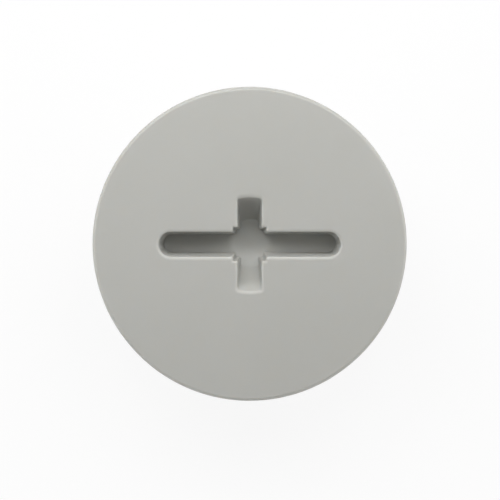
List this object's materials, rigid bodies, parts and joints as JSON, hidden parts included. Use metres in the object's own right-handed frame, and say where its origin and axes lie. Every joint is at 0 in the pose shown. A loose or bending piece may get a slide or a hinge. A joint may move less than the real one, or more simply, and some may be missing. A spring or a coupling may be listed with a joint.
{
  "type": "hole plug",
  "caption": "Screw-in plastic hole plug: round flat head with a long slot crossed by a cross recess, type Z, on a hollow shank.",
  "frame": {"origin": "centre of the head's underside, where the plug seats", "axes": "+Z along the plug's axis, out through the face; +X along the slot; +Y along the cross recess's free wings"},
  "size_m": [0.025, 0.025, 0.0125],
  "materials": {
    "moulded_plastic": "light grey moulded polyamide, satin, fine even grain on the face"
  },
  "bodies": {
    "root": {"hole_plug": "moulded_plastic"}
  },
  "joints": []
}
